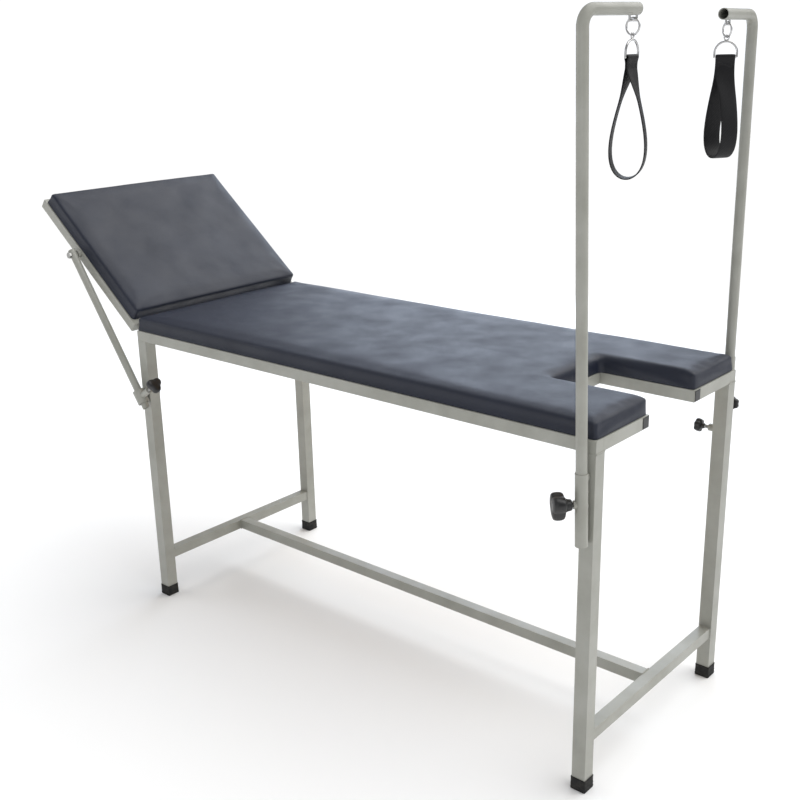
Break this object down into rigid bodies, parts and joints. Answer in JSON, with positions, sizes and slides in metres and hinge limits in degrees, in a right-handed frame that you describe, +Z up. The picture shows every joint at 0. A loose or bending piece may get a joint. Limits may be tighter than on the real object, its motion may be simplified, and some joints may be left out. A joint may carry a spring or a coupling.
{
  "type": "examination couch",
  "caption": "Examination couch with a clamped tilting backrest, a notched foot end and two height-adjustable poles that carry ankle slings.",
  "frame": {"origin": "on the floor, at the middle of the couch's length with the backrest raised, on the couch's long middle line", "axes": "+Z up, +X towards the foot end with the notch, +Y across the couch from the side that carries the backrest stay"},
  "size_m": [1.7226, 0.6871, 1.4613],
  "materials": {
    "enamel": "semi-gloss ivory-grey enamel",
    "vinyl": "dark blue upholstery vinyl with a fine grain",
    "plywood": "raw",
    "rubber": "matte",
    "black_plastic": "satin",
    "chrome_wire": "polished",
    "plain_steel": "zinc plated",
    "strap": "close black webbing with a slight sheen"
  },
  "bodies": {
    "frame": {"leg_head_near": "enamel", "leg_head_far": "enamel", "leg_foot_near": "enamel", "leg_foot_far": "enamel", "foot_caps": "rubber", "side_rail_near": "enamel", "side_rail_far": "enamel", "rail_end_plates": "enamel", "head_rail": "enamel", "notch_crossbar": "enamel", "notch_rail_near": "enamel", "notch_rail_far": "enamel", "notch_rail_plugs": "black_plastic", "prong_rails": "enamel", "stretcher_head": "enamel", "stretcher_foot": "enamel", "stretcher_centre": "enamel", "seat_board": "plywood", "seat_pad": "vinyl", "socket_near": "enamel", "socket_far": "enamel", "socket_welds": "enamel", "clamp_bosses": "enamel", "hinge_pins": "plain_steel", "hinge_nuts": "plain_steel"},
    "backrest": {"back_rail_near": "enamel", "back_rail_far": "enamel", "back_top_rail": "enamel", "back_bottom_rail": "enamel", "back_end_plates": "enamel", "back_board": "plywood", "back_pad": "vinyl", "hinge_plates": "enamel", "stay_bolt": "plain_steel", "stay_spacer": "enamel"},
    "stay": {"stay": "enamel"},
    "stay_clamp": {"stay_sleeve": "enamel", "stay_swivel_pin": "plain_steel", "stay_swivel_nut": "plain_steel"},
    "stay_clamp_knob": {"stay_screw": "plain_steel", "stay_knob": "black_plastic"},
    "near_pole_knob": {"near_screw": "plain_steel", "near_knob": "black_plastic"},
    "far_pole_knob": {"far_screw": "plain_steel", "far_knob": "black_plastic"},
    "far_leg_knob": {"leg_screw": "plain_steel", "leg_knob": "black_plastic"},
    "near_plug": {"plug_near": "black_plastic"},
    "near_pole": {"pole_near": "enamel", "eye_near": "chrome_wire"},
    "near_ring": {"ring_near": "chrome_wire"},
    "near_dring": {"dring_near": "chrome_wire"},
    "near_sling": {"sling_near": "strap"},
    "far_plug": {"plug_far": "black_plastic"},
    "far_pole": {"pole_far": "enamel", "eye_far": "chrome_wire"},
    "far_ring": {"ring_far": "chrome_wire"},
    "far_dring": {"dring_far": "chrome_wire"},
    "far_sling": {"sling_far": "strap"}
  },
  "joints": [
    {"name": "back_tilt", "type": "hinge", "parent": "frame", "child": "backrest", "pos_m": [-0.47511, 0, 0.7205], "axis": [0, 1, 0], "range_deg": [-39.5, 5.5]},
    {"name": "stay_top_pivot", "type": "hinge", "parent": "backrest", "child": "stay", "pos_m": [-0.69888, -0.297, 0.90496], "axis": [0, 1, 0], "range_deg": [-1.7, 11.7]},
    {"name": "stay_clamp_swivel", "type": "hinge", "parent": "frame", "child": "stay_clamp", "pos_m": [-0.46511, -0.297, 0.566], "axis": [0, 1, 0], "range_deg": [-27.9, 3.9]},
    {"name": "stay_knob_turn", "type": "hinge", "parent": "stay_clamp", "child": "stay_clamp_knob", "pos_m": [-0.46511, -0.297, 0.566], "axis": [0.8232, 0, 0.5677], "range_deg": [0, 360]},
    {"name": "near_knob_turn", "type": "hinge", "parent": "frame", "child": "near_pole_knob", "pos_m": [0.83355, -0.297, 0.61599], "axis": [-0.7068, -0.7071, -0.0222], "range_deg": [0, 360]},
    {"name": "far_knob_turn", "type": "hinge", "parent": "frame", "child": "far_pole_knob", "pos_m": [0.82711, 0.297, 0.642], "axis": [0, 1, 0], "range_deg": [0, 360]},
    {"name": "leg_knob_turn", "type": "hinge", "parent": "frame", "child": "far_leg_knob", "pos_m": [0.83489, 0.265, 0.599], "axis": [-1, 0, 0], "range_deg": [0, 360]},
    {"name": "near_pole_height", "type": "slide", "parent": "frame", "child": "near_plug", "axis": [-0.0314, 0, 0.9995], "range_m": [-0.3, 0.05]},
    {"name": "near_pole_turn", "type": "hinge", "parent": "near_plug", "child": "near_pole", "pos_m": [0.83389, -0.297, 0.605], "axis": [-0.0314, 0, 0.9995], "continuous": true},
    {"name": "near_ring_swing", "type": "hinge", "parent": "near_pole", "child": "near_ring", "pos_m": [0.82909, -0.17685, 1.43226], "axis": [0.1736, 0.9848, 0.0055], "range_deg": [-40, 40]},
    {"name": "near_dring_swing", "type": "hinge", "parent": "near_ring", "child": "near_dring", "pos_m": [0.82909, -0.17685, 1.40996], "axis": [0.9903, -0.1392, 0], "range_deg": [-20, 40]},
    {"name": "near_sling_swing", "type": "hinge", "parent": "near_dring", "child": "near_sling", "pos_m": [0.82909, -0.17685, 1.37496], "axis": [0, 1, 0], "range_deg": [-60, 60]},
    {"name": "far_pole_height", "type": "slide", "parent": "frame", "child": "far_plug", "axis": [-0.0052, 0, 1], "range_m": [-0.3, 0.015]},
    {"name": "far_pole_turn", "type": "hinge", "parent": "far_plug", "child": "far_pole", "pos_m": [0.82689, 0.297, 0.684], "axis": [-0.0052, 0, 1], "continuous": true},
    {"name": "far_ring_swing", "type": "hinge", "parent": "far_pole", "child": "far_ring", "pos_m": [0.83487, 0.16152, 1.42505], "axis": [-0.0872, 0.9962, -0.0005], "range_deg": [-40, 40]},
    {"name": "far_dring_swing", "type": "hinge", "parent": "far_ring", "child": "far_dring", "pos_m": [0.83487, 0.16152, 1.40275], "axis": [0.866, -0.5, 0], "range_deg": [-40, 20]},
    {"name": "far_sling_swing", "type": "hinge", "parent": "far_dring", "child": "far_sling", "pos_m": [0.83487, 0.16152, 1.36775], "axis": [0.848, 0.5299, 0], "range_deg": [-60, 60]}
  ],
  "couplings": [
    {"joint": "stay_top_pivot", "follows": "back_tilt", "ratio": -0.295},
    {"joint": "stay_clamp_swivel", "follows": "back_tilt", "ratio": 0.705}
  ]
}
